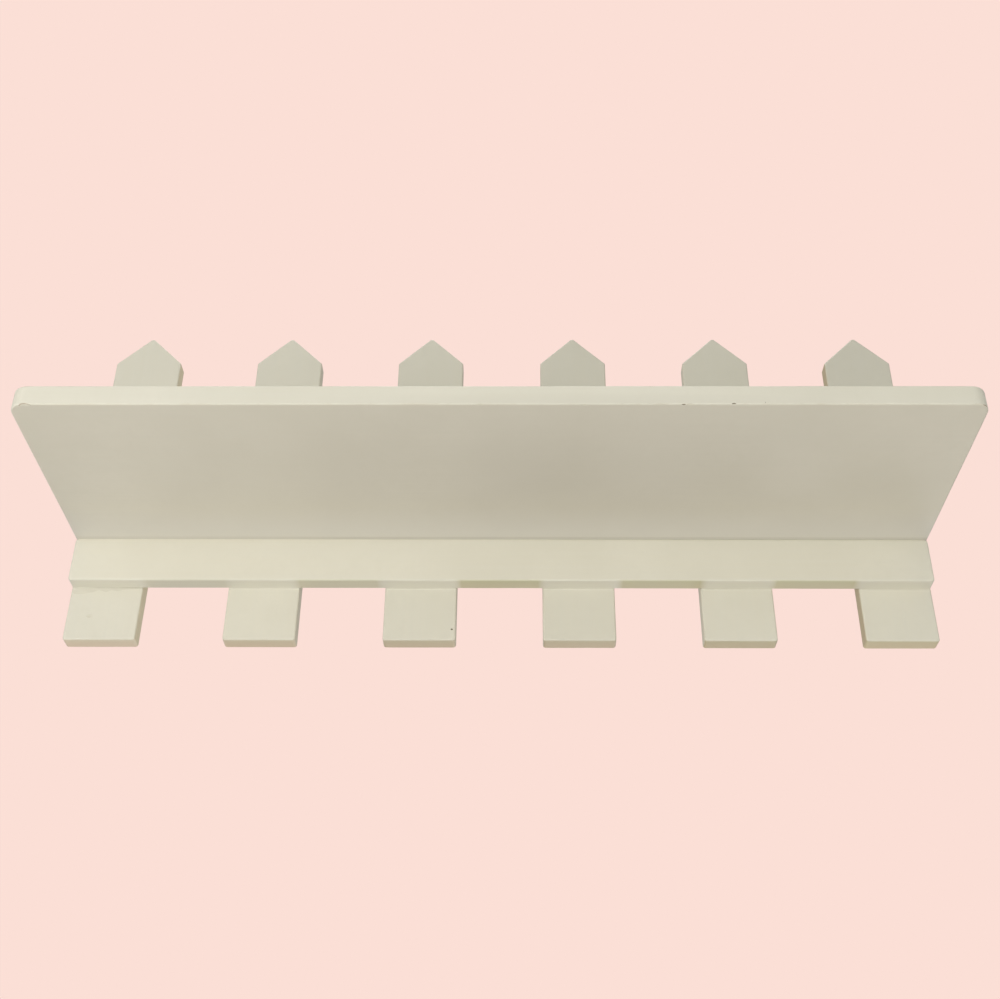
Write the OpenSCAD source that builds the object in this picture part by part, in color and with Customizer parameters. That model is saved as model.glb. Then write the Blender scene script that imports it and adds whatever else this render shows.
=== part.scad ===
// Wall shelf built like a short picket fence: pickets, a shelf board and a rail under the board.
// Millimetres. X runs along the wall, -Y faces the room and Z is up.
// The wall touches the picket backs at Y = 0, and the origin lies midway between the two wall hooks.

/* [Overall] */
// Width over the outer edges of the end pickets
overall_w = 610; // [480:1:900]
// Rounding of the boards' long edges
edge_ease = 1.2; // [0.4:0.1:1.4]
// Rounding of the boards' square corners
corner_ease = 2; // [1.5:0.1:4]

/* [Pickets] */
// Number of pickets
picket_count = 6; // [3:1:7]
// Width of a picket
picket_w = 51; // [40:0.5:60]
// Thickness of a picket
picket_t = 12; // [11:0.5:18]
// Height of a picket over its rounded tip
picket_h = 269; // [250:1:360]
// Slope of the two cuts that make the point, from level
tip_slope = 45; // [30:1:55]
// Rounding of the tip
tip_round = 2.5; // [1.5:0.1:6]

/* [Front rail] */
// Height of the rail
rail_h = 34; // [30:0.5:50]
// Thickness of the rail
rail_t = 12; // [12:0.5:20]
// How far the pickets hang below the rail
picket_drop = 41; // [20:1:70]

/* [Shelf board] */
// Depth of the board in front of the pickets
shelf_d = 173; // [100:1:250]
// Thickness of the board
shelf_t = 14.5; // [13:0.5:22]
// Radius of the board's two front corners, seen from above
shelf_corner_r = 10; // [3:0.5:30]

/* [Dowels] */
// Diameter of a dowel
dowel_d = 6; // [4:0.5:8]
// Depth of a dowel in the rail
dowel_in_rail = 19; // [10:0.5:22]
// Depth of a dowel in the shelf board
dowel_in_shelf = 9; // [5:0.5:10]

/* [Board screws] */
// Diameter of a board screw's shank
board_screw_d = 4; // [3:0.1:5]
// Diameter of a board screw's head
board_screw_head_d = 7.6; // [6:0.1:9]
// Length of a screw that goes into the rail
rail_screw_l = 20; // [16:0.5:21]
// Length of a screw that goes into the shelf board
shelf_screw_l = 45; // [25:1:60]

/* [Keyhole plates] */
// How far the keyholes lie below the picket tips
hanger_down = 64; // [55:1:110]
// Length of a plate
plate_l = 44; // [40:0.5:50]
// Width of a plate
plate_w = 16; // [15:0.5:22]
// Thickness of a plate
plate_t = 1.5; // [1:0.1:2]
// Diameter of the hole that lets the wall screw's head in
keyhole_d = 9.5; // [8:0.1:10]
// Width of the slot that grips the wall screw's neck
keyhole_slot_w = 4.6; // [4.4:0.1:5]
// Travel from the round hole up to the end of the slot
keyhole_travel = 10; // [8:0.5:11]
// Distance between a plate's two screws
plate_screw_span = 34; // [33:0.5:35]
// Diameter of a plate screw's shank
plate_screw_d = 2.6; // [2:0.1:3]
// Diameter of a plate screw's head
plate_screw_head_d = 5; // [4.4:0.1:5.4]
// Length of a plate screw
plate_screw_l = 8; // [6:0.5:9]
// Depth of the pocket behind a plate, for the wall screw's head
pocket_depth = 5.5; // [4:0.5:7]

/* [Clearances] */
// Gap round a screw or a dowel in its hole
hole_gap = 0.1; // [0.05:0.01:0.15]
// Gap round a plate in its recess
recess_gap = 0.2; // [0.1:0.05:0.4]
// Depth of a screw head below the surface that it is driven into
head_sink = 0.2; // [0.1:0.05:0.4]

/* [Hidden] */
paint = [0.86, 0.84, 0.76];
beech = [0.80, 0.66, 0.46];
zinc = [0.72, 0.73, 0.74];

// Extra length of a cut past the face that it opens
past = 1;
// Segments round a softened corner, and round everything drilled or turned
soft_fn = 24;
bore_fn = 48;

feet_z = hanger_down - picket_h;
rail_z = feet_z + picket_drop;
shelf_z = rail_z + rail_h;
picket_front_y = -picket_t;
rail_screw_z = rail_z + rail_h / 2;
shelf_screw_z = shelf_z + shelf_t / 2;
dowel_y = picket_front_y - rail_t / 2;

picket_pitch = (overall_w - picket_w) / (picket_count - 1);
picket_apex = picket_h + tip_round * (1 / cos(tip_slope) - 1);
picket_shoulder = picket_apex - picket_w / 2 * tan(tip_slope);

head_angle = 45;
plate_mid_z = (keyhole_travel + keyhole_slot_w / 2 - keyhole_d / 2) / 2;
pocket_w = keyhole_d + 2;

pickets = [1 : picket_count];
gaps = [1 : picket_count - 1];
sides = ["left", "right"];
plate_ends = ["upper", "lower"];

function picket_x(i) = -overall_w / 2 + picket_w / 2 + (i - 1) * picket_pitch;
function hanger_x(side) = side == "left" ? picket_x(1) : picket_x(picket_count);
function plate_screw_z(end) = plate_mid_z + (end == "upper" ? 1 : -1) * plate_screw_span / 2;

// A flat board whose outline is stretched round the given corners, each [x, y, radius].
// It lies on the XY plane with thickness t, and its edges are rounded over by edge_ease.
module eased_board(corners, t) {
    hull()
        for (a = [0, 45, 90]) {
            inset = edge_ease * (1 - cos(a));
            rim = edge_ease * (1 - sin(a));
            translate([0, 0, rim])
                linear_extrude(t - 2 * rim)
                    for (c = corners)
                        translate([c[0], c[1]])
                            circle(r = c[2] - inset, $fn = soft_fn);
        }
}

// Stands a board drawn on the XY plane upright, with its back at Y = 0 and its face to the room
module upright() {
    rotate([90, 0, 0]) children();
}

// A countersunk wood screw that points along +Z, with the flat of its head at Z = 0
module wood_screw(d, head_d, l) {
    cone_l = (head_d - d) / 2 * tan(head_angle);
    tip_l = d;
    difference() {
        union() {
            cylinder(h = cone_l, d1 = head_d, d2 = d, $fn = bore_fn);
            translate([0, 0, cone_l])
                cylinder(h = l - cone_l - tip_l, d = d, $fn = bore_fn);
            translate([0, 0, l - tip_l])
                cylinder(h = tip_l, d1 = d, d2 = d * 0.2, $fn = bore_fn);
        }
        cross_recess(d);
    }
}

// The cross-shaped driver recess in a screw's head
module cross_recess(d) {
    arm_l = d * 1.1;
    arm_w = d * 0.24;
    depth = d * 0.4;
    for (a = [0, 90])
        rotate([0, 0, a])
            translate([-arm_l / 2, -arm_w / 2, -past])
                cube([arm_l, arm_w, depth + past]);
}

// The hole that a wood screw needs, drilled along +Z from Z = -sink, with its countersink
module screw_hole(d, head_d, l, sink) {
    mouth_d = head_d + 2 * hole_gap;
    shank_d = d + 2 * hole_gap;
    cone_l = (mouth_d - shank_d) / 2 * tan(head_angle);
    translate([0, 0, -sink - past])
        cylinder(h = sink + past, d = mouth_d, $fn = bore_fn);
    cylinder(h = cone_l, d1 = mouth_d, d2 = shank_d, $fn = bore_fn);
    cylinder(h = l + hole_gap, d = shank_d, $fn = bore_fn);
}

// Moves a thing that points along +Z to a screw's place on a picket's back, pointing to the room
module from_back(x, z, sink) {
    translate([x, -sink, z])
        rotate([90, 0, 0])
            children();
}

module rail_screw_hole(i) {
    from_back(picket_x(i), rail_screw_z, head_sink)
        screw_hole(board_screw_d, board_screw_head_d, rail_screw_l, head_sink);
}

module shelf_screw_hole(i) {
    from_back(picket_x(i), shelf_screw_z, head_sink)
        screw_hole(board_screw_d, board_screw_head_d, shelf_screw_l, head_sink);
}

module plate_screw_hole(side, end) {
    from_back(hanger_x(side), plate_screw_z(end), head_sink)
        screw_hole(plate_screw_d, plate_screw_head_d, plate_screw_l, head_sink);
}

module dowel_hole(i) {
    translate([picket_x(i) + picket_pitch / 2, dowel_y, shelf_z - dowel_in_rail - hole_gap])
        cylinder(h = dowel_in_rail + dowel_in_shelf + 2 * hole_gap, d = dowel_d + 2 * hole_gap, $fn = bore_fn);
}

// Plan of a bar with two round ends, centred on X = 0
module round_ended(w, y_low, y_high) {
    translate([-w / 2, y_low]) square([w, y_high - y_low]);
    translate([0, y_low]) circle(d = w, $fn = bore_fn);
    translate([0, y_high]) circle(d = w, $fn = bore_fn);
}

// Outline of a keyhole plate, grown all round by the given amount
module plate_outline(grow) {
    w = plate_w + 2 * grow;
    flat = plate_l - plate_w;
    translate([0, plate_mid_z]) round_ended(w, -flat / 2, flat / 2);
}

// The recess for a keyhole plate and the deeper pocket behind it
module hanger_recess(side) {
    translate([hanger_x(side), 0, 0])
        upright() {
            translate([0, 0, -past]) linear_extrude(plate_t + past) plate_outline(recess_gap);
            translate([0, 0, -past])
                linear_extrude(plate_t + pocket_depth + past)
                    round_ended(pocket_w, 0, keyhole_travel);
        }
}

// One picket: a planed and painted board, square at its foot and cut to a point at its top
module picket(i) {
    side_x = picket_w / 2 - corner_ease;
    color(paint)
        difference() {
            translate([picket_x(i), 0, feet_z])
                upright()
                    eased_board([
                        [-side_x, corner_ease, corner_ease],
                        [side_x, corner_ease, corner_ease],
                        [side_x, picket_shoulder - corner_ease * tan(tip_slope / 2), corner_ease],
                        [-side_x, picket_shoulder - corner_ease * tan(tip_slope / 2), corner_ease],
                        [0, picket_h - tip_round, tip_round]
                    ], picket_t);
            rail_screw_hole(i);
            shelf_screw_hole(i);
            for (s = sides)
                if (hanger_x(s) == picket_x(i)) {
                    hanger_recess(s);
                    for (e = plate_ends) plate_screw_hole(s, e);
                }
        }
}

// The rail under the shelf board, in front of the pickets
module front_rail() {
    side_x = overall_w / 2 - corner_ease;
    color(paint)
        difference() {
            translate([0, picket_front_y, rail_z])
                upright()
                    eased_board([
                        for (x = [-side_x, side_x], z = [corner_ease, rail_h - corner_ease])
                            [x, z, corner_ease]
                    ], rail_t);
            for (i = pickets) rail_screw_hole(i);
            for (i = gaps) dowel_hole(i);
        }
}

// The shelf board, with rounded front corners, against the pickets and on the rail
module shelf_board() {
    front_x = overall_w / 2 - shelf_corner_r;
    back_x = overall_w / 2 - corner_ease;
    color(paint)
        difference() {
            translate([0, picket_front_y, shelf_z])
                eased_board([
                    [-front_x, shelf_corner_r - shelf_d, shelf_corner_r],
                    [front_x, shelf_corner_r - shelf_d, shelf_corner_r],
                    [back_x, -corner_ease, corner_ease],
                    [-back_x, -corner_ease, corner_ease]
                ], shelf_t);
            for (i = pickets) shelf_screw_hole(i);
            for (i = gaps) dowel_hole(i);
        }
}

// A beech dowel, chamfered at both ends, that locks the rail to the shelf board
module dowel(i) {
    bevel = dowel_d / 8;
    l = dowel_in_rail + dowel_in_shelf;
    color(beech)
        translate([picket_x(i) + picket_pitch / 2, dowel_y, shelf_z - dowel_in_rail]) {
            cylinder(h = bevel, d1 = dowel_d - 2 * bevel, d2 = dowel_d, $fn = bore_fn);
            translate([0, 0, bevel]) cylinder(h = l - 2 * bevel, d = dowel_d, $fn = bore_fn);
            translate([0, 0, l - bevel])
                cylinder(h = bevel, d1 = dowel_d, d2 = dowel_d - 2 * bevel, $fn = bore_fn);
        }
}

module rail_screw(i) {
    color(zinc)
        from_back(picket_x(i), rail_screw_z, head_sink)
            wood_screw(board_screw_d, board_screw_head_d, rail_screw_l);
}

module shelf_screw(i) {
    color(zinc)
        from_back(picket_x(i), shelf_screw_z, head_sink)
            wood_screw(board_screw_d, board_screw_head_d, shelf_screw_l);
}

// A steel hanger plate, flush with the picket's back, with a keyhole for the wall screw
module keyhole_plate(side) {
    color(zinc)
        difference() {
            translate([hanger_x(side), 0, 0])
                upright()
                    linear_extrude(plate_t)
                        difference() {
                            plate_outline(0);
                            circle(d = keyhole_d, $fn = bore_fn);
                            round_ended(keyhole_slot_w, 0, keyhole_travel);
                        }
            for (e = plate_ends) plate_screw_hole(side, e);
        }
}

module plate_screw(side, end) {
    color(zinc)
        from_back(hanger_x(side), plate_screw_z(end), head_sink)
            wood_screw(plate_screw_d, plate_screw_head_d, plate_screw_l);
}

shelf_board();
front_rail();
for (i = pickets) picket(i);
for (i = gaps) dowel(i);
for (i = pickets) rail_screw(i);
for (i = pickets) shelf_screw(i);
for (s = sides) keyhole_plate(s);
for (s = sides, e = plate_ends)
    plate_screw(s, e);
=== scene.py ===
import math

import bmesh
import bpy
from mathutils import Matrix, Vector, noise


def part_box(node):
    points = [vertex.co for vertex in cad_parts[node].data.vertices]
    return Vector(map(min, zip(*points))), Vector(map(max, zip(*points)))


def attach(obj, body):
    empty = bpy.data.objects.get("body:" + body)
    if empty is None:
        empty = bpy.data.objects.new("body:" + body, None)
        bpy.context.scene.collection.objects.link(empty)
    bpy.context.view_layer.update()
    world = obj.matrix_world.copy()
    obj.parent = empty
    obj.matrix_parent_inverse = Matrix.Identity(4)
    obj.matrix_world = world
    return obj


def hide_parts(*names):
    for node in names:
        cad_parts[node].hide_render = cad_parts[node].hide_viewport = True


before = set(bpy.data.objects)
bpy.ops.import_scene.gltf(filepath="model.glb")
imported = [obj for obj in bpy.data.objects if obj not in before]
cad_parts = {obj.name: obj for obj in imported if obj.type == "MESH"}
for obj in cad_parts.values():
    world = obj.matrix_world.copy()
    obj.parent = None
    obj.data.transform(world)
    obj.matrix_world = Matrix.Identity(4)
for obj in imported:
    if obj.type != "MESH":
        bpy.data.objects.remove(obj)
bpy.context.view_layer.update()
MM = 0.001

# Pickets: six upright boards of planed softwood, square at the foot and sawn to a point at the
# top, with edges sanded round. They are primed and brushed with cream satin paint, and bored
# and recessed from the back for the screws and for the two hanger plates.
pickets = ["picket_1", "picket_2", "picket_3", "picket_4", "picket_5", "picket_6"]
picket_corner = 2.0 * MM
picket_tip_round = 2.5 * MM
picket_tip_slope = math.radians(45)
edge_round = 1.2 * MM
edge_round_least = 0.75
edge_round_most = 1.15
edge_round_wave = 24 * MM
edge_round_steps = 4
edge_sag = 0.12 * MM
edge_sag_wave = 55 * MM
edge_spacing = 6 * MM
corner_step = math.radians(12)
corner_steps_least = 3
face_margin = 0.35 * MM
crease = math.radians(35)
to_room = Vector((0, -1, 0))
to_wall = Vector((0, 1, 0))
to_right = Vector((1, 0, 0))
upwards = Vector((0, 0, 1))


def rounded_outline(corners, spacing):
    """The line round a board whose edge is stretched round corner circles (u, v, radius).
    Gives each point of the line with the direction that points out of the board there."""
    leaving = []
    for k, (u, v, radius) in enumerate(corners):
        next_u, next_v, next_radius = corners[(k + 1) % len(corners)]
        travel = Vector((next_u - u, next_v - v))
        lean = (radius - next_radius) / travel.length
        travel.normalize()
        side = Vector((travel.y, -travel.x))
        leaving.append(side * math.sqrt(1 - lean * lean) + travel * lean)
    line = []
    for k, (u, v, radius) in enumerate(corners):
        centre = Vector((u, v))
        start = math.atan2(leaving[k - 1].y, leaving[k - 1].x)
        turn = (math.atan2(leaving[k].y, leaving[k].x) - start) % math.tau
        steps = max(corner_steps_least, round(turn / corner_step))
        for s in range(steps + 1):
            angle = start + turn * s / steps
            outward = Vector((math.cos(angle), math.sin(angle)))
            line.append((centre + outward * radius, outward))
        next_u, next_v, next_radius = corners[(k + 1) % len(corners)]
        here = line[-1][0]
        there = Vector((next_u, next_v)) + leaving[k] * next_radius
        steps = max(1, round((there - here).length / spacing))
        for s in range(1, steps):
            line.append((here.lerp(there, s / steps), leaving[k]))
    return line


def picket_outline(width, height):
    """The line round a picket, from its square foot to its sawn point."""
    apex = height + picket_tip_round * (1 / math.cos(picket_tip_slope) - 1)
    shoulder = apex - width / 2 * math.tan(picket_tip_slope)
    shoulder_centre = shoulder - picket_corner * math.tan(picket_tip_slope / 2)
    side = width / 2 - picket_corner
    return rounded_outline(
        [
            (-side, picket_corner, picket_corner),
            (side, picket_corner, picket_corner),
            (side, shoulder_centre, picket_corner),
            (0, height - picket_tip_round, picket_tip_round),
            (-side, shoulder_centre, picket_corner),
        ],
        edge_spacing,
    )


def painted_board(name, line, corner, across, up, inward, thickness, seed):
    """A board with hand-sanded edges. corner is where u, v and depth are 0 on its face. Its
    points hold how rubbed, how sawn and how far underneath they are, for the paint."""
    swing = (edge_round_most - edge_round_least) / 2
    middle = (edge_round_most + edge_round_least) / 2
    shape = bmesh.new()
    rim = shape.verts.layers.float.new("rim")
    sawn = shape.verts.layers.float.new("sawn")
    foot = shape.verts.layers.float.new("foot")
    # For each ring how far in and down it lies on the rounding, its margin, and how rubbed and
    # how sawn it is.
    rings = [(1, 0, face_margin, 0, 0)]
    for k in range(edge_round_steps + 1):
        angle = math.pi / 2 * k / edge_round_steps
        inset = 1 - math.sin(angle)
        drop = 1 - math.cos(angle)
        rings.append((inset, drop, 0, math.sin(2 * angle), k / edge_round_steps))
    made = []
    for far in (False, True):
        order = rings[::-1] if far else rings
        for inset, drop, margin, rim_share, sawn_share in order:
            ring = []
            for point, outward in line:
                spot = Vector((point.x, point.y, thickness if far else 0))
                wave = noise.noise(spot / edge_round_wave + Vector((seed, 0, 0)))
                sag = noise.noise(spot / edge_sag_wave + Vector((0, seed, 0)))
                radius = edge_round * (middle + swing * wave)
                hold = edge_sag * (0.5 + 0.5 * sag)
                flat = point - outward * (radius * inset + margin + hold)
                depth = thickness - radius * drop if far else radius * drop
                vert = shape.verts.new(corner + across * flat.x + up * flat.y + inward * depth)
                vert[rim] = rim_share
                vert[sawn] = sawn_share
                vert[foot] = max(0, -outward.y)
                ring.append(vert)
            made.append(ring)
    skin(shape, made)
    return piece_from(shape, name)


def skin(shape, rings):
    """Joins rings of points, one after the other, and closes the first and the last."""
    for near, far in zip(rings, rings[1:]):
        for k in range(len(near)):
            after = (k + 1) % len(near)
            shape.faces.new((near[k], near[after], far[after], far[k]))
    shape.faces.new(rings[0])
    shape.faces.new(rings[-1])
    bmesh.ops.recalc_face_normals(shape, faces=shape.faces)


def piece_from(shape, name):
    """Turns finished mesh code into a smooth-shaded object in the scene."""
    mesh = bpy.data.meshes.new(name)
    shape.to_mesh(mesh)
    shape.free()
    mesh.shade_smooth()
    piece = bpy.data.objects.new(name, mesh)
    bpy.context.scene.collection.objects.link(piece)
    return piece


def keep_shape(piece):
    """Makes what the piece's modifiers do a part of its mesh."""
    graph = bpy.context.evaluated_depsgraph_get()
    shaped = bpy.data.meshes.new_from_object(piece.evaluated_get(graph))
    piece.modifiers.clear()
    piece.data = shaped


def true_edges(piece):
    """Keeps flat faces flat and rounded edges smooth in the light."""
    piece.data.shade_smooth()
    piece.data.set_sharp_from_angle(angle=crease)
    weighted = piece.modifiers.new("true_edges", "WEIGHTED_NORMAL")
    weighted.keep_sharp = True
    keep_shape(piece)


# Their bores for the screws, and on the outer two a recess for a hanger plate and a pocket
# behind it for the head of the screw in the wall.
hangers = {1: "left", 6: "right"}
bore_sides = 32
bore_over = 1.0 * MM
screw_mouth = 3.9 * MM
screw_neck = 2.1 * MM
screw_sink = 0.2 * MM
plate_screw_mouth = 2.6 * MM
plate_screw_neck = 1.4 * MM
hole_clearance = 0.1 * MM
recess_clearance = 0.2 * MM
pocket_half_width = 5.75 * MM
pocket_travel = 10 * MM
pocket_depth = 5.5 * MM


def middle_of(node):
    """The middle of a solid's box."""
    low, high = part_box(node)
    return (low + high) / 2


def turned_cutter(name, foot, axis, profile):
    """A drill or countersink: (radius, distance along the axis) pairs spun round the axis."""
    shape = bmesh.new()
    turn = upwards.rotation_difference(axis).to_matrix()
    rings = []
    for radius, along in profile:
        ring = []
        for k in range(bore_sides):
            angle = math.tau * k / bore_sides
            spot = Vector((radius * math.cos(angle), radius * math.sin(angle), along))
            ring.append(shape.verts.new(foot + turn @ spot))
        rings.append(ring)
    skin(shape, rings)
    return piece_from(shape, name)


def screw_bore(screw, back, mouth, neck, depth):
    """The drill and countersink for a screw, from just outside a board's back."""
    place = middle_of(screw)
    cone = mouth - neck
    profile = (
        (mouth, -bore_over),
        (mouth, screw_sink),
        (neck, screw_sink + cone),
        (neck, depth),
    )
    return turned_cutter(screw, Vector((place.x, back, place.z)), to_room, profile)


def slot_cutter(name, x, z_low, z_high, half_width, y_from, y_to):
    """A router's round-ended slot, upright on a picket's back."""
    shape = bmesh.new()
    plan = []
    half = bore_sides // 2
    for centre_z, first in ((z_high, 0), (z_low, math.pi)):
        for k in range(half + 1):
            angle = first + math.pi * k / half
            out_x = half_width * math.cos(angle)
            out_z = half_width * math.sin(angle)
            plan.append((x + out_x, centre_z + out_z))
    near = [shape.verts.new((px, y_from, pz)) for px, pz in plan]
    far = [shape.verts.new((px, y_to, pz)) for px, pz in plan]
    skin(shape, (near, far))
    return piece_from(shape, name)


def hanger_bores(hanger, back):
    """The recess for a hanger plate, the pocket behind it, and the bores for its two screws."""
    plate_low, plate_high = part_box(f"keyhole_plate_{hanger}")
    plate_x = (plate_low.x + plate_high.x) / 2
    plate_half = (plate_high.x - plate_low.x) / 2
    plate_recess = slot_cutter(
        "plate_recess",
        plate_x,
        z_low=plate_low.z + plate_half,
        z_high=plate_high.z - plate_half,
        half_width=plate_half + recess_clearance,
        y_from=back + bore_over,
        y_to=plate_low.y,
    )
    head_pocket = slot_cutter(
        "head_pocket",
        plate_x,
        z_low=0,
        z_high=pocket_travel,
        half_width=pocket_half_width,
        y_from=plate_low.y + bore_over / 2,
        y_to=plate_low.y - pocket_depth,
    )
    bores = [plate_recess, head_pocket]
    for end in ("upper", "lower"):
        screw = f"plate_screw_{hanger}_{end}"
        screw_low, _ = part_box(screw)
        reach = back - screw_low.y + hole_clearance
        bores.append(screw_bore(screw, back, plate_screw_mouth, plate_screw_neck, reach))
    return bores


def cut_out(piece, cutters, cut_finish):
    """Cuts the cutters' shapes out of the piece, and gives the cut faces one of its finishes."""
    finish_number = piece.data.materials.find(cut_finish.name)
    for cutter in cutters:
        for finish in piece.data.materials:
            cutter.data.materials.append(finish)
        for face in cutter.data.polygons:
            face.material_index = finish_number
        cut = piece.modifiers.new(cutter.name, "BOOLEAN")
        cut.operation = "DIFFERENCE"
        cut.solver = "EXACT"
        cut.object = cutter
    keep_shape(piece)
    for cutter in cutters:
        bpy.data.objects.remove(cutter)


# What the finishes are mixed from.
noise_shift = (3.1, 1.7, 2.3)
noise_range = (0.3, 0.7)


def new_finish(name):
    """An empty node finish, its shader, and the piece's own coordinates in metres."""
    finish = bpy.data.materials.new(name)
    finish.use_nodes = True
    tree = finish.node_tree
    place = tree.nodes.new("ShaderNodeTexCoord").outputs["Object"]
    return finish, tree, tree.nodes["Principled BSDF"], place


def speckle(tree, place, per_metre, detail, seed):
    """Uneven noise with that many spots per metre, along all axes or along each."""
    if isinstance(per_metre, (int, float)):
        per_metre = [per_metre] * 3
    mapping = tree.nodes.new("ShaderNodeMapping")
    mapping.inputs["Location"].default_value = [seed * shift for shift in noise_shift]
    mapping.inputs["Scale"].default_value = per_metre
    texture = tree.nodes.new("ShaderNodeTexNoise")
    texture.inputs["Scale"].default_value = 1
    texture.inputs["Detail"].default_value = detail
    tree.links.new(place, mapping.inputs["Vector"])
    tree.links.new(mapping.outputs["Vector"], texture.inputs["Vector"])
    return texture.outputs["Fac"]


def spread(tree, value, taken, given=(0, 1)):
    """Stretches a value from the range taken to the range given, and holds it there."""
    ranged = tree.nodes.new("ShaderNodeMapRange")
    ranged.inputs["From Min"].default_value = taken[0]
    ranged.inputs["From Max"].default_value = taken[1]
    ranged.inputs["To Min"].default_value = given[0]
    ranged.inputs["To Max"].default_value = given[1]
    tree.links.new(value, ranged.inputs["Value"])
    return ranged.outputs["Result"]


def along_axis(tree, place, axis, stretch, given=(0, 1)):
    """A value that goes through the range given over a stretch along an axis."""
    parts = tree.nodes.new("ShaderNodeSeparateXYZ")
    tree.links.new(place, parts.inputs["Vector"])
    return spread(tree, parts.outputs[axis], stretch, given)


def product(tree, one, other):
    """One varying value times another, or times a number."""
    times = tree.nodes.new("ShaderNodeMath")
    times.operation = "MULTIPLY"
    for socket, value in ((times.inputs[0], one), (times.inputs[1], other)):
        if isinstance(value, (int, float)):
            socket.default_value = value
        else:
            tree.links.new(value, socket)
    return times.outputs["Value"]


def tinted(tree, share, under, over):
    """The colour under, with the colour over laid on it by a varying share."""
    mix = tree.nodes.new("ShaderNodeMix")
    mix.data_type = "RGBA"
    tree.links.new(share, mix.inputs["Factor"])
    for socket, colour in ((mix.inputs["A"], under), (mix.inputs["B"], over)):
        if isinstance(colour, tuple):
            socket.default_value = colour
        else:
            tree.links.new(colour, socket)
    return mix.outputs["Result"]


def mesh_value(tree, name):
    """A value that the mesh code wrote on the piece's points."""
    attribute = tree.nodes.new("ShaderNodeAttribute")
    attribute.attribute_name = name
    return attribute.outputs["Fac"]


def relief(tree, shader, *heights):
    """Raises the surface by each of the heights, which come with their depths."""
    normal = None
    for height, depth in heights:
        bump = tree.nodes.new("ShaderNodeBump")
        bump.inputs["Strength"].default_value = 1
        bump.inputs["Distance"].default_value = depth
        tree.links.new(height, bump.inputs["Height"])
        if normal is not None:
            tree.links.new(normal, bump.inputs["Normal"])
        normal = bump.outputs["Normal"]
    tree.links.new(normal, shader.inputs["Normal"])


# Their paint, which is thin on the sawn sides and the feet and a little rubbed at the edges.
paint_light = (0.790, 0.757, 0.628, 1)
paint_shade = (0.755, 0.722, 0.592, 1)
paint_stroke = (0.770, 0.742, 0.622, 1)
# The outer pickets' sides are thin tan paint, the first's painted lighter as painted light from
# the right and the sixth's darker as painted shade.
side_thin_painted_light = (0.925, 0.810, 0.570, 1)
side_thin_painted_shade = (0.650, 0.530, 0.335, 1)
side_covered = (0.835, 0.775, 0.625, 1)
picket_sides = {1: side_thin_painted_light, 6: side_thin_painted_shade}
# The feet are thin tan paint, pinker towards the back as a painted reflection of the pink round
# them.
foot_khaki = (0.720, 0.642, 0.438, 1)
foot_tan_and_reflection = (0.760, 0.622, 0.418, 1)
# The feet are toned lighter and cooler towards the left: painted light.
foot_painted_light = {1: 1.25, 2: 1.10, 3: 0.97, 4: 0.92, 5: 0.87, 6: 0.975}
foot_light_coolness = {1: 1.10, 2: 1.05, 3: 1, 4: 1, 5: 0.90, 6: 0.90}
paint_rubbed = (0.700, 0.640, 0.500, 1)
# Each picket's paint is toned darker where less light falls, most in the middle: painted shade.
picket_painted_shade = {1: 0.945, 2: 0.97, 3: 0.935, 4: 0.94, 5: 0.97, 6: 1}
# The tips are toned darker towards the right as painted shade, fading in over this height.
tip_painted_shade = {1: 1.01, 2: 0.96, 3: 0.93, 4: 0.905, 5: 0.92, 6: 0.91}
tip_shade_fade = (-115 * MM, -20 * MM)
paint_dulled_light = (0.725, 0.690, 0.568, 1)
paint_dulled_dark = (0.690, 0.655, 0.530, 1)
paint_clouds = 13
paint_freckles = 170
paint_wear = 85
paint_stipple = 420
paint_roughness = (0.38, 0.52)
cloud_depth = 0.15 * MM
stroke_depth = 0.04 * MM
stipple_depth = 0.035 * MM
strokes_along = 5
strokes_across = 330
cloud_range = (0.35, 0.65)
stroke_range = (0.40, 0.70)
stroke_most = 0.45
freckle_range = (0.45, 0.75)
freckle_most = 0.35
cover_least = 0.86
foot_range = (0.3, 0.8)
sawn_range = (0.35, 1)
wear_range = (0.48, 0.68)
wear_share = (0.04, 0.60)


def toned(colour, tone, coolness=1):
    """The same colour, lighter or darker by the tone, and cooler or warmer."""
    red, green, blue, alpha = colour
    return (red * tone, green * tone, blue * tone * coolness, alpha)


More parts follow.
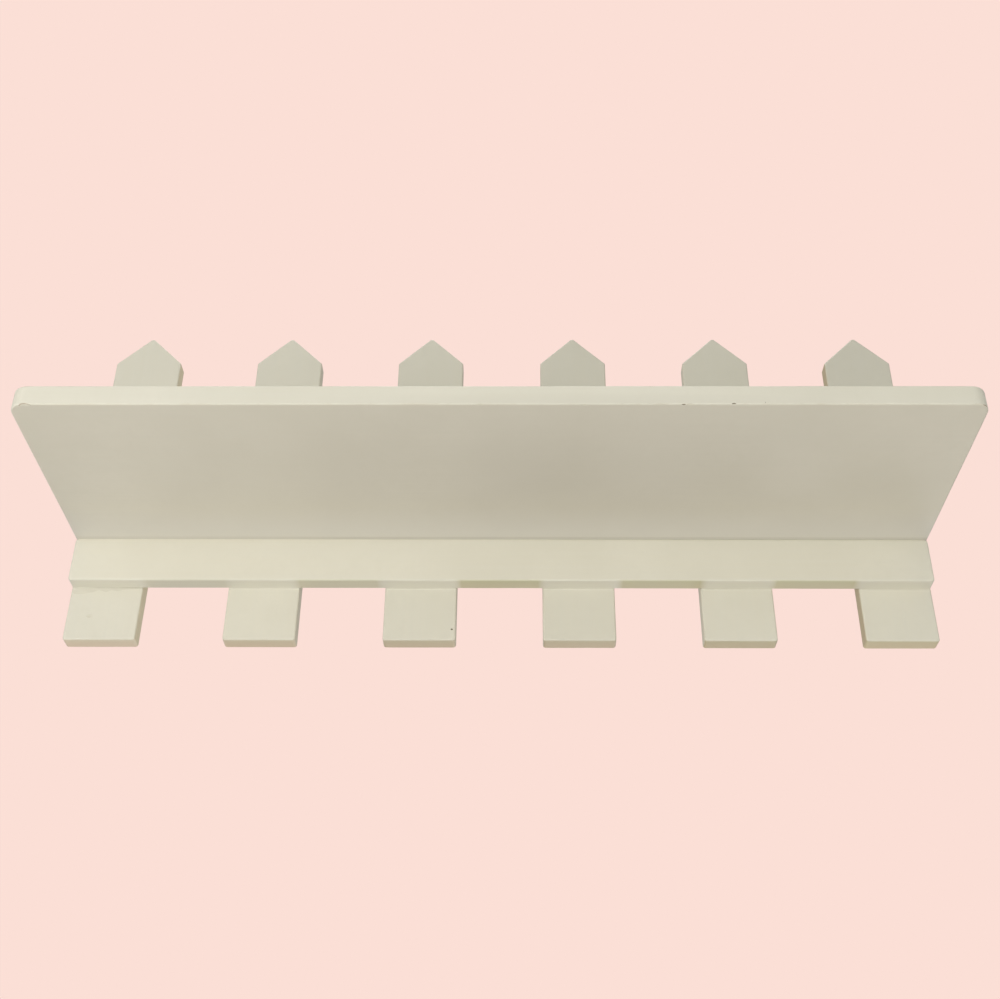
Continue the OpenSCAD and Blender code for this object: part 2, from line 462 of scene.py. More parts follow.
def brushed_paint(name, along, seed, tone=1, sides=None, feet=None, depth=None, tip_shade=None):
    """Cream satin paint, brushed along one axis. Where given, it is thin on the sawn sides and
    on the feet, whose colour goes from the first of feet at the face to the second behind, and
    its tone at the tip is painted shade."""
    light = toned(paint_light, tone)
    shade = toned(paint_shade, tone)
    stroke = toned(paint_stroke, tone)
    finish, tree, shader, place = new_finish(name)
    if tip_shade:
        tip_shade_share = along_axis(tree, place, "Z", tip_shade_fade)
        light = tinted(tree, tip_shade_share, light, toned(paint_light, tip_shade))
        shade = tinted(tree, tip_shade_share, shade, toned(paint_shade, tip_shade))
        stroke = tinted(tree, tip_shade_share, stroke, toned(paint_stroke, tip_shade))
    strokes_scale = [strokes_across] * 3
    strokes_scale["XYZ".index(along)] = strokes_along
    clouds = speckle(tree, place, paint_clouds, detail=3, seed=seed)
    freckles = speckle(tree, place, paint_freckles, detail=2, seed=seed + 5)
    strokes = speckle(tree, place, strokes_scale, detail=3, seed=seed + 9)
    stipple = speckle(tree, place, paint_stipple, detail=2, seed=seed + 13)
    worn = speckle(tree, place, paint_wear, detail=3, seed=seed + 21)
    colour = tinted(tree, spread(tree, clouds, cloud_range), light, shade)
    colour = tinted(tree, spread(tree, strokes, stroke_range, (0, stroke_most)), colour, stroke)
    colour = tinted(tree, spread(tree, freckles, freckle_range, (0, freckle_most)), colour, shade)
    if feet:
        thin = tinted(tree, along_axis(tree, place, "Y", depth), feet[0], feet[1])
        if sides:
            at_foot = spread(tree, mesh_value(tree, "foot"), foot_range)
            thin = tinted(tree, at_foot, sides, thin)
            bare = spread(tree, mesh_value(tree, "sawn"), sawn_range)
        else:
            bare = product(tree, mesh_value(tree, "sawn"), mesh_value(tree, "foot"))
        cover = spread(tree, clouds, noise_range, (cover_least, 1))
        colour = tinted(tree, product(tree, bare, cover), colour, thin)
    wear = spread(tree, worn, wear_range, wear_share)
    rubbed = product(tree, mesh_value(tree, "rim"), wear)
    tree.links.new(tinted(tree, rubbed, colour, paint_rubbed), shader.inputs["Base Color"])
    gloss = spread(tree, strokes, noise_range, paint_roughness)
    tree.links.new(gloss, shader.inputs["Roughness"])
    relief(tree, shader, (clouds, cloud_depth), (strokes, stroke_depth), (stipple, stipple_depth))
    return finish


# Their wood, where the drill, the router or a knock has bared it.
wood_early = (0.640, 0.455, 0.265, 1)
wood_late = (0.470, 0.300, 0.155, 1)
grime_light = (0.270, 0.230, 0.145, 1)
grime_dark = (0.180, 0.152, 0.098, 1)
wood_rings = (520, 520, 9)
wood_fibre = (1560, 1560, 36)
ring_range = (0.40, 0.65)
wood_roughness = (0.62, 0.82)
fibre_depth = 0.08 * MM


def bare_wood(name, seed, early=wood_early, late=wood_late):
    """Cut softwood, as the drill and the router leave it, or as it darkens in a pit."""
    finish, tree, shader, place = new_finish(name)
    rings = speckle(tree, place, wood_rings, detail=3, seed=seed)
    fibre = speckle(tree, place, wood_fibre, detail=2, seed=seed + 4)
    colour = tinted(tree, spread(tree, rings, ring_range), early, late)
    tree.links.new(colour, shader.inputs["Base Color"])
    tree.links.new(spread(tree, fibre, noise_range, wood_roughness), shader.inputs["Roughness"])
    relief(tree, shader, (fibre, fibre_depth))
    return finish


wood = bare_wood("bare_softwood", 2.0)
grime = bare_wood("grime_in_pits", 5.0, grime_light, grime_dark)
dulled = bare_wood("dulled_paint", 8.0, paint_dulled_light, paint_dulled_dark)
picket_pieces = {}
for number, node in enumerate(pickets, start=1):
    low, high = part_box(node)
    thickness = high.y - low.y
    line = picket_outline(high.x - low.x, high.z - low.z)
    foot = Vector(((low.x + high.x) / 2, low.y, low.z))
    picket = painted_board(
        f"{node}_board", line, foot, to_right, upwards, to_wall, thickness, seed=number * 4.7
    )
    paint = brushed_paint(
        f"cream_paint_picket_{number}",
        along="Z",
        seed=number * 3.3,
        tone=picket_painted_shade[number],
        sides=picket_sides.get(number, side_covered),
        feet=[
            toned(colour, foot_painted_light[number], foot_light_coolness[number])
            for colour in (foot_khaki, foot_tan_and_reflection)
        ],
        depth=(low.y, high.y),
        tip_shade=tip_painted_shade[number],
    )
    for finish in (paint, wood, grime, dulled):
        picket.data.materials.append(finish)
    bores = []
    for screw in (f"rail_screw_{number}", f"shelf_screw_{number}"):
        through = thickness + bore_over
        bores.append(screw_bore(screw, high.y, screw_mouth, screw_neck, through))
    if number in hangers:
        bores.extend(hanger_bores(hangers[number], high.y))
    cut_out(picket, bores, wood)
    picket_pieces[node] = picket

# Flaws in the pickets' paint: a small pit low on the third, and a dull dimple on the first.
pit_place = Vector((-33.3 * MM, -12 * MM, -196.3 * MM))
pit_radii = Vector((0.8, 0.7, 0.65)) * MM
dimple_place = Vector((-288.8 * MM, -12.15 * MM, -186.4 * MM))
dimple_radii = Vector((2.4, 0.42, 1.6)) * MM
flaw_lump = 0.22
lump_fineness = 1.7


def chip_cutter(name, centre, radii, lump, seed):
    """An uneven lump that leaves a chip or a pit where it meets the board."""
    shape = bmesh.new()
    bmesh.ops.create_icosphere(shape, subdivisions=4, radius=1)
    for vert in shape.verts:
        swell = 1 + lump * noise.noise(vert.co * lump_fineness + Vector((seed, seed, 0)))
        vert.co = Vector(centre) + Vector(radii) * vert.co * swell
    return piece_from(shape, name)


pit = chip_cutter("pit", pit_place, pit_radii, flaw_lump, seed=3)
dimple = chip_cutter("dimple", dimple_place, dimple_radii, flaw_lump, seed=5)
cut_out(picket_pieces["picket_3"], [pit], grime)
cut_out(picket_pieces["picket_1"], [dimple], dulled)
for node, picket in picket_pieces.items():
    true_edges(picket)
    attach(picket, "root")
    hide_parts(node)

# Front rail: one planed softwood board on edge under the shelf, painted like the pickets. It
# is bored from the back for six screws and from the top for five dowels.
rail_corner = 2.0 * MM
dowel_half = 3.1 * MM
# Its underside is thin tan paint, pinker towards the back as a painted reflection of the pink
# round it.
rail_foot_khaki = (0.632, 0.612, 0.386, 1)
rail_foot_tan_and_reflection = (0.672, 0.604, 0.396, 1)
# Painted light on the rail's underside: its colour over the pickets, and its share in the first
# gaps.
painted_bounce_colour = (0.822, 0.800, 0.676, 1)
gap_painted_light = {1: 0.52, 2: 0.24}
low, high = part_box("front_rail")
rail_side = (high.x - low.x) / 2 - rail_corner
rail_height = high.z - low.z
line = rounded_outline(
    [
        (-rail_side, rail_corner, rail_corner),
        (rail_side, rail_corner, rail_corner),
        (rail_side, rail_height - rail_corner, rail_corner),
        (-rail_side, rail_height - rail_corner, rail_corner),
    ],
    edge_spacing,
)
rail = painted_board(
    "front_rail_board",
    line,
    Vector((0, low.y, low.z)),
    to_right,
    upwards,
    to_wall,
    high.y - low.y,
    seed=31.0,
)
paint = brushed_paint(
    "cream_paint_rail",
    along="X",
    seed=24.0,
    feet=(rail_foot_khaki, rail_foot_tan_and_reflection),
    depth=(low.y, high.y),
)
for finish in (paint, wood):
    rail.data.materials.append(finish)

# Over each picket the rail's underside is painted lighter, as painted light bounced off the
# picket, and in the first two gaps partly so, as painted light from the left. Its upper edge
# lies in the corner, unrubbed.
rail_middle = (low.z + high.z) / 2
rubbed_rim = rail.data.attributes["rim"].data
thin_share = rail.data.attributes["foot"].data
painted_bounce_share = rail.data.attributes.new("painted_bounce", "FLOAT", "POINT").data
picket_boxes = [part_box(node) for node in pickets]
for vert in rail.data.vertices:
    gap = sum(picket_low.x < vert.co.x for picket_low, _ in picket_boxes)
    at_picket = gap > 0 and vert.co.x < picket_boxes[gap - 1][1].x
    bounce = 1 if at_picket else gap_painted_light.get(gap, 0)
    painted_bounce_share[vert.index].value = thin_share[vert.index].value * bounce
    thin_share[vert.index].value *= 1 - bounce
    if vert.co.z > rail_middle:
        rubbed_rim[vert.index].value = 0


def laid_over(finish, share, over):
    """Lays one more colour over a ready finish, by a varying share."""
    tree = finish.node_tree
    base = tree.nodes["Principled BSDF"].inputs["Base Color"]
    tree.links.new(tinted(tree, share, base.links[0].from_socket, over), base)


tree = paint.node_tree
laid_over(paint, product(tree, mesh_value(tree, "sawn"), mesh_value(tree, "painted_bounce")), painted_bounce_colour)


def straight_bore(name, start, axis, half, reach):
    """The drill for a screw's thread or a dowel."""
    return turned_cutter(name, start, axis, ((half, 0), (half, reach)))


def screw_holes(kind, back):
    """The holes that one kind of screw has bitten into a board from its back."""
    holes = []
    for number in range(1, len(pickets) + 1):
        screw = f"{kind}_screw_{number}"
        place = middle_of(screw)
        start = Vector((place.x, back + bore_over, place.z))
        screw_low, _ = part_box(screw)
        reach = back + bore_over - screw_low.y + hole_clearance
        holes.append(straight_bore(f"bore_{number}", start, to_room, screw_neck, reach))
    return holes


def dowel_hole(number, bottom, top):
    """The upright hole for one dowel."""
    place = middle_of(f"dowel_{number}")
    start = Vector((place.x, place.y, bottom))
    return straight_bore(f"dowel_bore_{number}", start, upwards, dowel_half, top - start.z)


bores = screw_holes("rail", high.y)
for number in range(1, len(pickets)):
    dowel_low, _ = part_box(f"dowel_{number}")
    bores.append(dowel_hole(number, dowel_low.z - hole_clearance, high.z + bore_over))
cut_out(rail, bores, wood)
true_edges(rail)
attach(rail, "root")
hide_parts("front_rail")

# Shelf board: one deep softwood board with its two front corners cut round, painted on all
# faces. It stands on the rail's top edge and is screwed through the pickets into its back edge.
shelf_front_corner = 10.0 * MM
shelf_back_corner = 2.0 * MM
shelf_tone = 1.025
# A patch of painted shade in the middle of the underside.
painted_shade_place = Vector((45, -105, -130)) * MM
painted_shade_radii = Vector((230, 135, 12)) * MM
painted_shade_colour = (0.556, 0.524, 0.424, 1)
painted_shade_fade = (0.1, 1)
painted_shade_most = 0.42
under_depth = (0.4 * MM, 0.8 * MM)
cool_reach = (42 * MM, 10 * MM)
cool_colour = (0.760, 0.745, 0.695, 1)
cool_most = 0.5
# A thin line of painted shade in the corner over the rail.
corner_shade_reach = (3.4 * MM, 2.4 * MM)
corner_shade_colour = (0.450, 0.420, 0.330, 1)
corner_shade_most = 0.25
corner_shade_start = (-220 * MM, -100 * MM)
corner_shade_least = 0.55
primer_light = (0.560, 0.475, 0.360, 1)
primer_dark = (0.470, 0.390, 0.285, 1)
low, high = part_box("shelf_board")
front_side = (high.x - low.x) / 2 - shelf_front_corner
back_side = (high.x - low.x) / 2 - shelf_back_corner
line = rounded_outline(
    [
        (-front_side, low.y + shelf_front_corner, shelf_front_corner),
        (front_side, low.y + shelf_front_corner, shelf_front_corner),
        (back_side, high.y - shelf_back_corner, shelf_back_corner),
        (-back_side, high.y - shelf_back_corner, shelf_back_corner),
    ],
    edge_spacing,
)
shelf = painted_board(
    "shelf_board_board",
    line,
    Vector((0, 0, low.z)),
    to_right,
    to_wall,
    upwards,
    high.z - low.z,
    seed=47.0,
)
primer = bare_wood("bared_primer", 11.0, primer_light, primer_dark)
shelf_paint = brushed_paint("cream_paint_shelf", along="X", seed=57.0, tone=shelf_tone)
for finish in (shelf_paint, wood, grime, dulled, primer):
    shelf.data.materials.append(finish)

# The middle of its underside is painted darker, as painted shade. Towards the rail it is
# cooler in colour, and a thin line of painted shade darkens the corner over the rail.
tree = shelf_paint.node_tree
place = tree.nodes["Texture Coordinate"].outputs["Object"]
painted_shade_reach = tree.nodes.new("ShaderNodeMapping")
painted_shade_reach.inputs["Scale"].default_value = [1 / radius for radius in painted_shade_radii]
painted_shade_reach.inputs["Location"].default_value = [-c / r for c, r in zip(painted_shade_place, painted_shade_radii)]
tree.links.new(place, painted_shade_reach.inputs["Vector"])
painted_shade_distance = tree.nodes.new("ShaderNodeVectorMath")
painted_shade_distance.operation = "LENGTH"
tree.links.new(painted_shade_reach.outputs["Vector"], painted_shade_distance.inputs[0])
painted_shade_share = spread(tree, painted_shade_distance.outputs["Value"], painted_shade_fade, (painted_shade_most, 0))
laid_over(shelf_paint, painted_shade_share, painted_shade_colour)
rail_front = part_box("front_rail")[0].y
cool_stretch = [rail_front - reach for reach in cool_reach]
corner_shade_stretch = [rail_front - reach for reach in corner_shade_reach]
face_stretch = [low.z + depth for depth in under_depth]
below = along_axis(tree, place, "Z", face_stretch, (1, 0))
cool_share = along_axis(tree, place, "Y", cool_stretch, (0, cool_most))
laid_over(shelf_paint, product(tree, cool_share, below), cool_colour)
corner_shade_share = along_axis(tree, place, "Y", corner_shade_stretch, (0, corner_shade_most))
corner_shade_growth = along_axis(tree, place, "X", corner_shade_start, (corner_shade_least, 1))
corner_shade_share = product(tree, product(tree, corner_shade_share, corner_shade_growth), below)
laid_over(shelf_paint, corner_shade_share, corner_shade_colour)
bores = screw_holes("shelf", high.y)
for number in range(1, len(pickets)):
    _, dowel_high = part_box(f"dowel_{number}")
    bores.append(dowel_hole(number, low.z - bore_over, dowel_high.z + hole_clearance))
cut_out(shelf, bores, wood)

# Knocks along the board's front lower edge: a flake off its rounding at the left with a dark
# arched rim of bared primer and painted shadow, a mark on the right corner, and grooves, dark
# with grime or half painted over.
# Their stops are (x, depth behind the front, height over the lower face, radius) in mm.
flake_place = Vector((-293.9 * MM, low.y - 1.5 * MM, low.z - 7.0 * MM))
flake_radii = Vector((13.6, 10.0, 7.63)) * MM
flake_lump = 0.006
# The flake's dark rim is bared primer and painted shadow under the flake's edge.
flake_rim_and_shadow = (
    (-297.8, 1.64, 0.00, 0.28),
    (-297.1, 0.92, 0.11, 0.36),
    (-296.2, 0.39, 0.39, 0.38),
    (-294.8, 0.18, 0.56, 0.34),
    (-293.2, 0.25, 0.46, 0.34),
    (-291.6, 0.54, 0.20, 0.30),
    (-290.0, 1.19, 0.00, 0.14),
)
dark_grooves = (
    ((114.0, 0.54, 0.20, 0.18), (115.2, 0.65, 0.13, 0.40), (116.3, 0.48, 0.24, 0.20)),
    ((144.8, 0.27, 0.45, 0.18), (146.2, 0.16, 0.60, 0.40), (147.5, 0.27, 0.45, 0.18)),
    ((165.5, 0.00, 1.00, 0.10), (165.6, 0.00, 1.45, 0.20), (165.5, 0.00, 1.90, 0.10)),
)
corner_mark = (
    (299.7, 1.30, 0.52, 0.30),
    (300.8, 1.88, 0.66, 0.44),
    (301.9, 2.78, 0.80, 0.44),
    (302.9, 3.90, 0.95, 0.32),
)
pale_grooves = (
    ((-12.2, 0.72, 0.12, 0.25), (-10.6, 0.62, 0.16, 0.60), (-9.0, 0.72, 0.12, 0.25)),
    ((51.6, 0.82, 0.08, 0.20), (54.0, 0.76, 0.10, 0.50), (56.2, 0.82, 0.08, 0.20)),
    ((117.0, 0.55, 0.20, 0.20), (119.5, 0.50, 0.24, 0.45), (122.0, 0.62, 0.16, 0.15)),
)
groove_sides = 10


def groove_cutter(name, stops):
    """A round-bottomed groove through the stops, along the shelf board's front."""
    shape = bmesh.new()
    spots = []
    for x, behind, rise, _ in stops:
        spots.append(Vector((x * MM, low.y + behind * MM, low.z + rise * MM)))
    rings = []
    for k, (spot, stop) in enumerate(zip(spots, stops)):
        travel = (spots[min(k + 1, len(spots) - 1)] - spots[max(k - 1, 0)]).normalized()
        side = travel.cross(to_wall).normalized()
        over = side.cross(travel)
        ring = []
        for s in range(groove_sides):
            angle = math.tau * s / groove_sides
            outward = side * math.cos(angle) + over * math.sin(angle)
            ring.append(shape.verts.new(spot + outward * stop[3] * MM))
        rings.append(ring)
    skin(shape, rings)
    return piece_from(shape, name)


flake = chip_cutter("flake", flake_place, flake_radii, flake_lump, seed=11)
bared = [groove_cutter("flake_rim_and_shadow", flake_rim_and_shadow), groove_cutter("corner_mark", corner_mark)]
pale = [groove_cutter(f"pale_{k}", stops) for k, stops in enumerate(pale_grooves)]
dark = [groove_cutter(f"dark_{k}", stops) for k, stops in enumerate(dark_grooves)]
cut_out(shelf, [flake], shelf_paint)
cut_out(shelf, bared, primer)
cut_out(shelf, pale, dulled)
cut_out(shelf, dark, grime)
true_edges(shelf)
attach(shelf, "root")
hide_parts("shelf_board")

# Paint in the inner corners: where two painted boards meet, the brush has left a bead that
# fills the groove between their rounded edges. It is thin and even, but on the first picket it
# has run down in a wavy film, darker than the paint round it and darker still just under the
# rail, as painted shade.
film_light = (0.700, 0.667, 0.542, 1)
film_shade = (0.680, 0.646, 0.521, 1)
# Darker just under the rail: painted shade.
film_painted_shade = (0.665, 0.634, 0.510, 1)
film_shade_fade = (3.6 * MM, 0.8 * MM)
film_roughness = (0.40, 0.55)
film_depth = 0.05 * MM
bead_spacing = 1.5 * MM
bead_taper = 2 * MM
bead_end_fill = 0.6
bead_wave_a = 8 * MM
bead_wave_b = 10 * MM
bead_root = edge_round / 2
downwards = Vector((0, 0, -1))
bead_profile = ((1, 0), (0.55, 0.16), (0.3, 0.34), (0.16, 0.6), (0, 1))
thin_bead = ((0, 0.9), (1, 0.9))
under_shelf_bead = ((0, 0.7), (0.3, 0.5), (1, 0.3))
under_shelf_depth = 0.6 * MM
under_shelf_reach = 0.3 * MM
under_rail_reach = 1.3 * MM
over_shelf_reach = 1.4 * MM
film_run = (
    (0, 4.5),
    (0.12, 4.4),
    (0.28, 3.5),
    (0.38, 1.7),
    (0.49, 3.0),
    (0.56, 1.7),
    (0.66, 2.3),
    (0.75, 1.0),
    (1, 0.8),
)


def reach_at(stops, share):
    """How far the bead reaches there, between stops of (share of the way, reach in mm)."""
    for (share_a, reach_a), (share_b, reach_b) in zip(stops, stops[1:]):
        if share <= share_b:
            part = (share - share_a) / (share_b - share_a)
            return (reach_a + (reach_b - reach_a) * (3 - 2 * part) * part * part) * MM
    return stops[-1][1] * MM


def paint_bead(name, start, end, leg_a, leg_b, reach_a, stops, swell, seed):
    """A bead of paint along an inner corner. leg_a and leg_b point along the two faces. It
    reaches as far as reach_a along the first, and as the stops tell along the second."""
    shape = bmesh.new()
    run = end - start
    steps = max(2, round(run.length / bead_spacing))
    sections = []
    for s in range(steps + 1):
        way = run * s / steps
        spot = start + way
        ends = min(1, min(s, steps - s) * run.length / steps / bead_taper)
        fill = bead_end_fill + (1 - bead_end_fill) * math.sin(ends * math.pi / 2)
        wander_a = 1 + swell * noise.noise(Vector((way.length / bead_wave_a, seed, 0)))
        wander_b = 1 + swell * noise.noise(Vector((way.length / bead_wave_b, 0, seed)))
        a = reach_a * wander_a * fill
        b = reach_at(stops, s / steps) * wander_b * fill
        section = [leg_a * a - leg_b * bead_root]
        for part_a, part_b in bead_profile:
            section.append(leg_a * a * part_a + leg_b * b * part_b)
        section.append(leg_b * b - leg_a * bead_root)
        section.append((leg_a + leg_b) * -bead_root)
        sections.append([shape.verts.new(spot + place) for place in section])
    skin(shape, sections)
    return piece_from(shape, name)


bead_paint = brushed_paint("cream_paint_bead", along="X", seed=71.0)
film_paint, tree, shader, place = new_finish("cream_paint_film")
film_clouds = speckle(tree, place, paint_freckles, detail=3, seed=3.0)
colour = tinted(tree, spread(tree, film_clouds, cloud_range), film_light, film_shade)
rail_low, rail_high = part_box("front_rail")
shade_under_rail = along_axis(tree, place, "Z", [rail_low.z - down for down in film_shade_fade])
tree.links.new(tinted(tree, shade_under_rail, colour, film_painted_shade), shader.inputs["Base Color"])
tree.links.new(spread(tree, film_clouds, noise_range, film_roughness), shader.inputs["Roughness"])
relief(tree, shader, (film_clouds, film_depth))
_, shelf_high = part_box("shelf_board")
beads = [
    paint_bead(
        "paint_under_shelf",
        Vector((rail_low.x + rail_corner, rail_low.y + under_shelf_depth, rail_high.z)),
        Vector((rail_high.x - rail_corner, rail_low.y + under_shelf_depth, rail_high.z)),
        to_room,
        downwards,
        under_shelf_reach,
        under_shelf_bead,
        swell=0.12,
        seed=1.0,
    )
]
for number, node in enumerate(pickets, start=1):
    low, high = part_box(node)
    left = low.x + edge_round / 2
    right = high.x - edge_round / 2
    beads.append(
        paint_bead(
            f"paint_under_rail_{number}",
            Vector((left, low.y, rail_low.z)),
            Vector((right, low.y, rail_low.z)),
            to_room,
            downwards,
            under_rail_reach,
            film_run if number == 1 else thin_bead,
            swell=0.25,
            seed=number * 2.9,
        )
    )
    beads.append(
        paint_bead(
            f"paint_over_shelf_{number}",
            Vector((left, low.y, shelf_high.z)),
            Vector((right, low.y, shelf_high.z)),
            to_room,
            upwards,
            over_shelf_reach,
            thin_bead,
            swell=0.3,
            seed=number * 4.1,
        )
    )
for bead in beads:
    bead.data.materials.append(film_paint if bead.name == "paint_under_rail_1" else bead_paint)
    true_edges(bead)
    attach(bead, "root")

# Dowels: five turned beech pegs with chamfered ends, glued upright between the rail's top edge
# and the board's underside. They are hidden once the shelf is together.
beech_light = (0.560, 0.355, 0.180, 1)
beech_dark = (0.430, 0.250, 0.115, 1)
beech_figure = (500, 500, 30)
beech_flecks = (1400, 1400, 260)
beech_figure_range = (0.35, 0.70)
beech_fleck_range = (0.62, 0.72)
beech_fleck_most = 0.6
beech_roughness = (0.5, 0.7)
beech_fleck_depth = 0.04 * MM
beech, tree, shader, place = new_finish("turned_beech")
figure = speckle(tree, place, beech_figure, detail=3, seed=6.0)
flecks = speckle(tree, place, beech_flecks, detail=2, seed=8.0)
fleck_share = spread(tree, flecks, beech_fleck_range, (0, beech_fleck_most))
colour = tinted(tree, spread(tree, figure, beech_figure_range), beech_light, beech_dark)
colour = tinted(tree, fleck_share, colour, beech_dark)
tree.links.new(colour, shader.inputs["Base Color"])
tree.links.new(spread(tree, figure, noise_range, beech_roughness), shader.inputs["Roughness"])
relief(tree, shader, (flecks, beech_fleck_depth))


def refinish(solid, finish):
    """Gives a solid that stays as it is its finish."""
    for material_slot in solid.material_slots:
        material_slot.material = finish


for number in range(1, len(pickets)):
    refinish(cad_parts[f"dowel_{number}"], beech)

# Board screws and hanger screws: countersunk steel screws with cross recesses, bright zinc
# plated. Two hold each picket, and two smaller ones hold each hanger plate.
zinc_bright = (0.690, 0.700, 0.710, 1)
zinc_dull = (0.500, 0.505, 0.520, 1)
zinc_oxide = (0.620, 0.600, 0.560, 1)
zinc_scratches = (3200, 3200, 160)
bloom_fineness = 4
zinc_bloom_range = (0.55, 0.75)
zinc_bloom_most = 0.5
zinc_gloss_range = (0.35, 0.70)
zinc_depth = 0.012 * MM
screw_clouds = 260
screw_roughness = (0.22, 0.40)
screw_edge = 0.08 * MM
metal_edge_steps = 2
seam_gap = 0.005 * MM


def zinc_plating(name, clouds_per_metre, roughness, metal, dull, seed):
    """Zinc on steel: cloudy, with fine scratches and a little white bloom."""
    finish, tree, shader, place = new_finish(name)
    shader.inputs["Metallic"].default_value = 1
    clouds = speckle(tree, place, clouds_per_metre, detail=3, seed=seed)
    scratches = speckle(tree, place, zinc_scratches, detail=2, seed=seed + 2)
    bloom = speckle(tree, place, clouds_per_metre * bloom_fineness, detail=4, seed=seed + 4)
    bloom_share = spread(tree, bloom, zinc_bloom_range, (0, zinc_bloom_most))
    colour = tinted(tree, spread(tree, clouds, cloud_range), metal, dull)
    colour = tinted(tree, bloom_share, colour, zinc_oxide)
    tree.links.new(colour, shader.inputs["Base Color"])
    gloss = spread(tree, bloom, zinc_gloss_range, roughness)
    tree.links.new(gloss, shader.inputs["Roughness"])
    relief(tree, shader, (scratches, zinc_depth), (bloom, zinc_depth))
    return finish


def soften_metal(solid, radius):
    """Breaks the hard edges of a small metal part as plating and tumbling do."""
    weld = solid.modifiers.new("close_seams", "WELD")
    weld.merge_threshold = seam_gap
    bevel = solid.modifiers.new("soft_edges", "BEVEL")
    bevel.width = radius
    bevel.segments = metal_edge_steps
    bevel.limit_method = "ANGLE"
    bevel.angle_limit = crease
    weighted = solid.modifiers.new("true_edges", "WEIGHTED_NORMAL")
    weighted.keep_sharp = False


screw_zinc = zinc_plating(
    "bright_zinc", screw_clouds, screw_roughness, zinc_bright, zinc_dull, seed=3.0
)
for name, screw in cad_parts.items():
    if "_screw_" in name:
        refinish(screw, screw_zinc)
        soften_metal(screw, screw_edge)

# Keyhole hanger plates: two stamped steel plates with a round hole and a slot above it, zinc
# plated, screwed down and let in flush with the backs of the outer pickets. They drop over two
# screws in the wall.
plate_dark = (0.420, 0.430, 0.450, 1)
plate_clouds = 120
plate_roughness = (0.34, 0.55)
plate_edge = 0.2 * MM
plate_zinc = zinc_plating(
    "dull_zinc", plate_clouds, plate_roughness, zinc_dull, plate_dark, seed=5.0
)
for side_name in ("left", "right"):
    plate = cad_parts[f"keyhole_plate_{side_name}"]
    refinish(plate, plate_zinc)
    soften_metal(plate, plate_edge)

# Floor: plain and pale, well below the shelf. It fades into the backdrop far out, so that no
# horizon shows behind the shelf.
floor_z = -1.35
floor_radius = 6.0
floor_sides = 96
floor_fade = (1.6, 5.0)
floor_colour = (0.80, 0.735, 0.70, 1)
floor_tone = (0.77, 0.705, 0.67, 1)
floor_glow_colour = (1.0, 0.80, 0.74, 1)
floor_glow = 0.42
floor_patches = 2
floor_roughness = 0.8
shape = bmesh.new()
bmesh.ops.create_circle(shape, cap_ends=True, segments=floor_sides, radius=floor_radius)
bmesh.ops.translate(shape, verts=shape.verts, vec=(0, 0, floor_z))
floor = piece_from(shape, "floor")
floor_finish, tree, shader, place = new_finish("pale_floor")
patches = speckle(tree, place, floor_patches, detail=3, seed=1.0)
colour = tinted(tree, spread(tree, patches, noise_range), floor_colour, floor_tone)
tree.links.new(colour, shader.inputs["Base Color"])
shader.inputs["Roughness"].default_value = floor_roughness
shader.inputs["Emission Color"].default_value = floor_glow_colour
floor_seen = tree.nodes.new("ShaderNodeLightPath").outputs["Is Camera Ray"]
tree.links.new(product(tree, floor_seen, floor_glow), shader.inputs["Emission Strength"])
distance = tree.nodes.new("ShaderNodeVectorMath")
distance.operation = "DISTANCE"
distance.inputs[1].default_value = (0, 0, floor_z)
tree.links.new(place, distance.inputs[0])
clear = tree.nodes.new("ShaderNodeBsdfTransparent")
fade = tree.nodes.new("ShaderNodeMixShader")
tree.links.new(spread(tree, distance.outputs["Value"], floor_fade), fade.inputs["Fac"])
tree.links.new(shader.outputs["BSDF"], fade.inputs[1])
tree.links.new(clear.outputs["BSDF"], fade.inputs[2])
tree.links.new(fade.outputs["Shader"], tree.nodes["Material Output"].inputs["Surface"])
floor.data.materials.append(floor_finish)

# Backdrop and fill: the same pale pink all round. Its light on the shelf is set apart from how
# bright it shows.
backdrop = (0.965, 0.738, 0.672, 1)
fill_colour = (0.995, 1.0, 0.985, 1)
fill_strength = 0.345
world = bpy.data.worlds.new("backdrop")
world.use_nodes = True
bpy.context.scene.world = world
tree = world.node_tree
shown = tree.nodes["Background"]
shown.inputs["Color"].default_value = backdrop
shown.inputs["Strength"].default_value = 1
fill = tree.nodes.new("ShaderNodeBackground")
fill.inputs["Color"].default_value = fill_colour
fill.inputs["Strength"].default_value = fill_strength
seen = tree.nodes.new("ShaderNodeLightPath").outputs["Is Camera Ray"]
both = tree.nodes.new("ShaderNodeMixShader")
tree.links.new(seen, both.inputs["Fac"])
tree.links.new(fill.outputs["Background"], both.inputs[1])
tree.links.new(shown.outputs["Background"], both.inputs[2])
tree.links.new(both.outputs["Shader"], tree.nodes["World Output"].inputs["Surface"])
bpy.context.scene.view_settings.view_transform = "Standard"

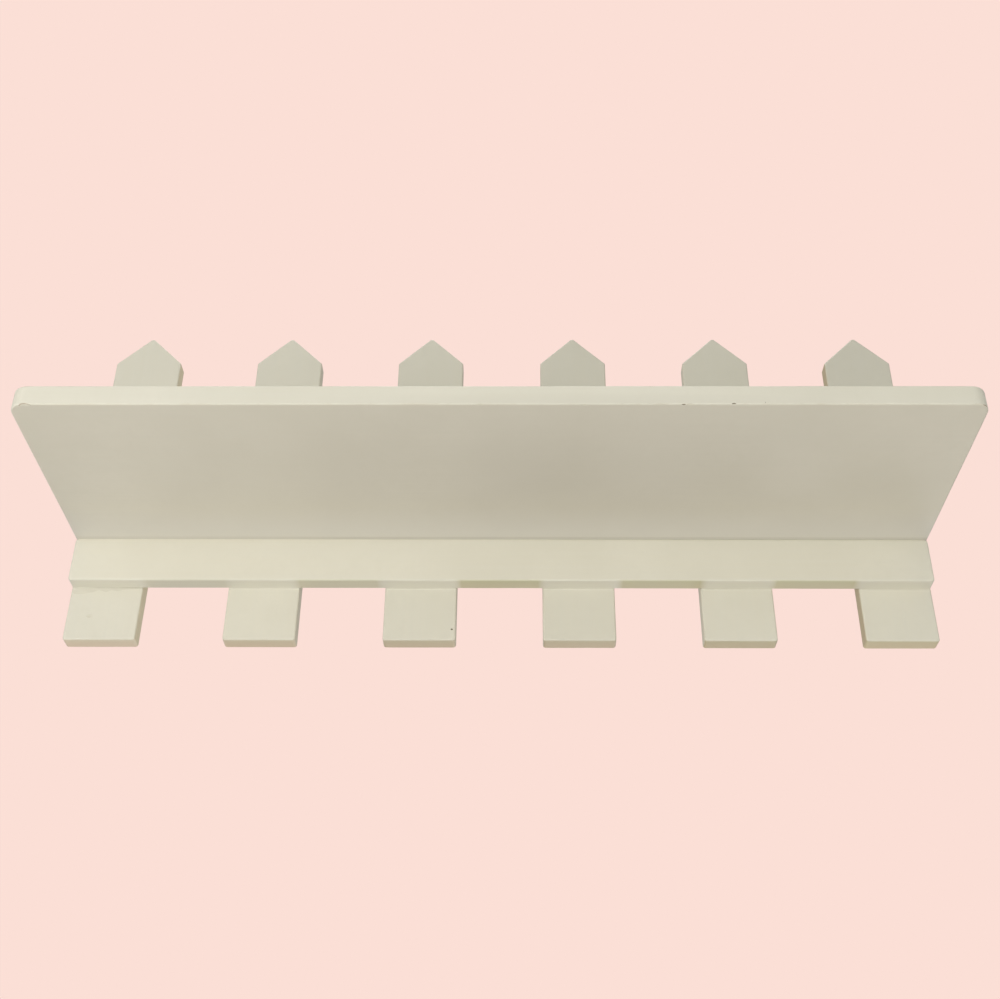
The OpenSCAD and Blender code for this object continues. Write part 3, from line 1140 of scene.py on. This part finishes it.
# Softboxes: large square lights that stand round the shelf and point at it, each with its
# place, side, colour, and power in watts.
light_target = Vector((0, -0.06, -0.08))
softboxes = {
    "front": ((0.1, -1.5, -0.45), 0.9, (1.0, 1.0, 0.995), 5.75),
    "left_high": ((-1.2, -1.4, 0.3), 0.7, (1.0, 0.98, 0.955), 2.4),
    "left_low": ((-0.95, -0.65, -0.8), 0.6, (0.88, 0.945, 1.0), 1.5),
    "left_near": ((-0.72, -0.62, -0.32), 0.3, (1.0, 0.97, 0.99), 1.3),
    "right_low": ((0.95, -0.75, -0.75), 0.6, (0.93, 1.0, 0.99), 0.6),
    "right_near": ((1.05, -0.62, -0.13), 0.4, (1.0, 0.985, 0.955), 0.3),
    "below": ((0.0, -1.0, -1.2), 0.9, (0.965, 0.995, 1.0), 3.35),
    "top": ((-0.2, -0.1, 1.9), 1.4, (1.0, 0.99, 0.97), 16),
    "back": ((0.5, 2.0, -0.75), 1.4, (1.0, 0.98, 0.95), 7),
}
for name, (place, side, colour, power) in softboxes.items():
    data = bpy.data.lights.new(name, "AREA")
    data.shape = "SQUARE"
    data.size = side
    data.color = colour
    data.energy = power
    lamp = bpy.data.objects.new(name, data)
    lamp.location = place
    lamp.rotation_euler = (light_target - Vector(place)).to_track_quat("-Z", "Y").to_euler()
    lamp.visible_camera = False
    bpy.context.scene.collection.objects.link(lamp)

# Camera: it looks up at the shelf from below and in front, from a little to the right of the
# shelf's middle.
camera_place = Vector((0.01276, -0.8708, -0.64291))
camera_pitch = math.radians(32.841)
camera_yaw = math.radians(-0.881)
camera_roll = math.radians(0.527)
camera_lens = 49.753
camera_film = 36
camera_nearest = 0.01
forward = Vector(
    (
        math.sin(camera_yaw) * math.cos(camera_pitch),
        math.cos(camera_yaw) * math.cos(camera_pitch),
        math.sin(camera_pitch),
    )
)
level_right = forward.cross(upwards).normalized()
level_up = level_right.cross(forward)
right = math.cos(camera_roll) * level_right + math.sin(camera_roll) * level_up
up = math.cos(camera_roll) * level_up - math.sin(camera_roll) * level_right
camera_data = bpy.data.cameras.new("camera")
camera_data.sensor_width = camera_film
camera_data.lens = camera_lens
camera_data.clip_start = camera_nearest
camera = bpy.data.objects.new("camera", camera_data)
camera_turn = Matrix((right, up, -forward)).transposed().to_4x4()
camera.matrix_world = Matrix.Translation(camera_place) @ camera_turn
bpy.context.scene.collection.objects.link(camera)
bpy.context.scene.camera = camera
